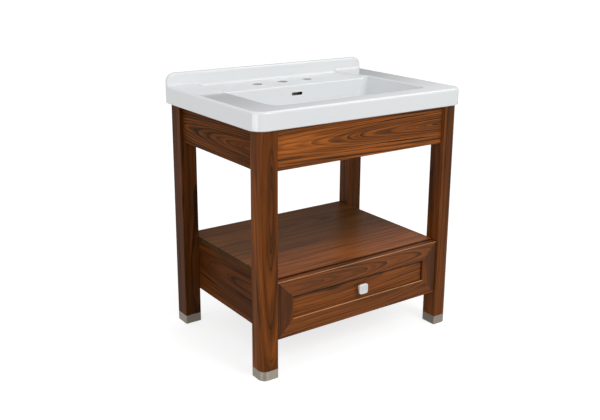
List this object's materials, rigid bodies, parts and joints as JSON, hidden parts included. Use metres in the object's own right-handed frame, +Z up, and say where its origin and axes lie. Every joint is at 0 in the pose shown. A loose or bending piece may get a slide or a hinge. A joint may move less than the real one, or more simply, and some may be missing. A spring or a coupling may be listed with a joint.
{
  "type": "vanity unit",
  "caption": "Free-standing console vanity: ceramic sink top with backsplash on a walnut leg stand, with an open bay, a shelf and a wide drawer on telescopic slides.",
  "frame": {"origin": "on the floor, under the middle of the sink top's outline", "axes": "+X to the right seen from the front, +Y to the back (the wall side), +Z up"},
  "size_m": [0.794, 0.548, 0.86],
  "materials": {
    "glazed_ceramic": "gloss glaze",
    "walnut": "satin lacquer",
    "brushed_nickel": "brushed",
    "knob_porcelain": "gloss glaze",
    "drawer_birch": "clear satin",
    "zinc_steel": "zinc plated"
  },
  "bodies": {
    "stand": {"sink_top": "glazed_ceramic", "case_dowels": "drawer_birch", "leg_front_left": "walnut", "leg_front_right": "walnut", "leg_back_left": "walnut", "leg_back_right": "walnut", "front_rail": "walnut", "left_rail": "walnut", "right_rail": "walnut", "back_rail": "walnut", "shelf_panel": "walnut", "case_side_left": "walnut", "case_side_right": "walnut", "case_bottom": "walnut", "case_back": "walnut", "corner_block_front_left": "drawer_birch", "corner_block_front_right": "drawer_birch", "corner_block_back_left": "drawer_birch", "corner_block_back_right": "drawer_birch", "ferrule_front_left": "brushed_nickel", "ferrule_front_right": "brushed_nickel", "ferrule_back_left": "brushed_nickel", "ferrule_back_right": "brushed_nickel", "ferrule_screws": "zinc_steel", "corner_bolts": "zinc_steel", "case_bolts": "zinc_steel", "slide_case_left": "zinc_steel", "slide_case_right": "zinc_steel"},
    "drawer": {"drawer_side_left": "drawer_birch", "drawer_side_right": "drawer_birch", "drawer_inner_front": "drawer_birch", "drawer_back": "drawer_birch", "drawer_bottom": "drawer_birch", "front_screws": "zinc_steel", "front_top_rail": "walnut", "front_bottom_rail": "walnut", "front_left_stile": "walnut", "front_right_stile": "walnut", "front_panel": "walnut", "knob": "knob_porcelain", "knob_screw": "zinc_steel", "slide_drawer_left": "zinc_steel", "slide_drawer_right": "zinc_steel"},
    "slide_middle_left": {"slide_middle_left": "zinc_steel"},
    "slide_middle_right": {"slide_middle_right": "zinc_steel"}
  },
  "joints": [
    {"name": "drawer_slide", "type": "slide", "parent": "stand", "child": "drawer", "axis": [0, -1, 0], "range_m": [0, 0.4]},
    {"name": "left_slide_extension", "type": "slide", "parent": "stand", "child": "slide_middle_left", "axis": [0, -1, 0], "range_m": [0, 0.2]},
    {"name": "right_slide_extension", "type": "slide", "parent": "stand", "child": "slide_middle_right", "axis": [0, -1, 0], "range_m": [0, 0.2]}
  ],
  "couplings": [
    {"joint": "left_slide_extension", "follows": "drawer_slide", "ratio": 0.5},
    {"joint": "right_slide_extension", "follows": "drawer_slide", "ratio": 0.5}
  ]
}
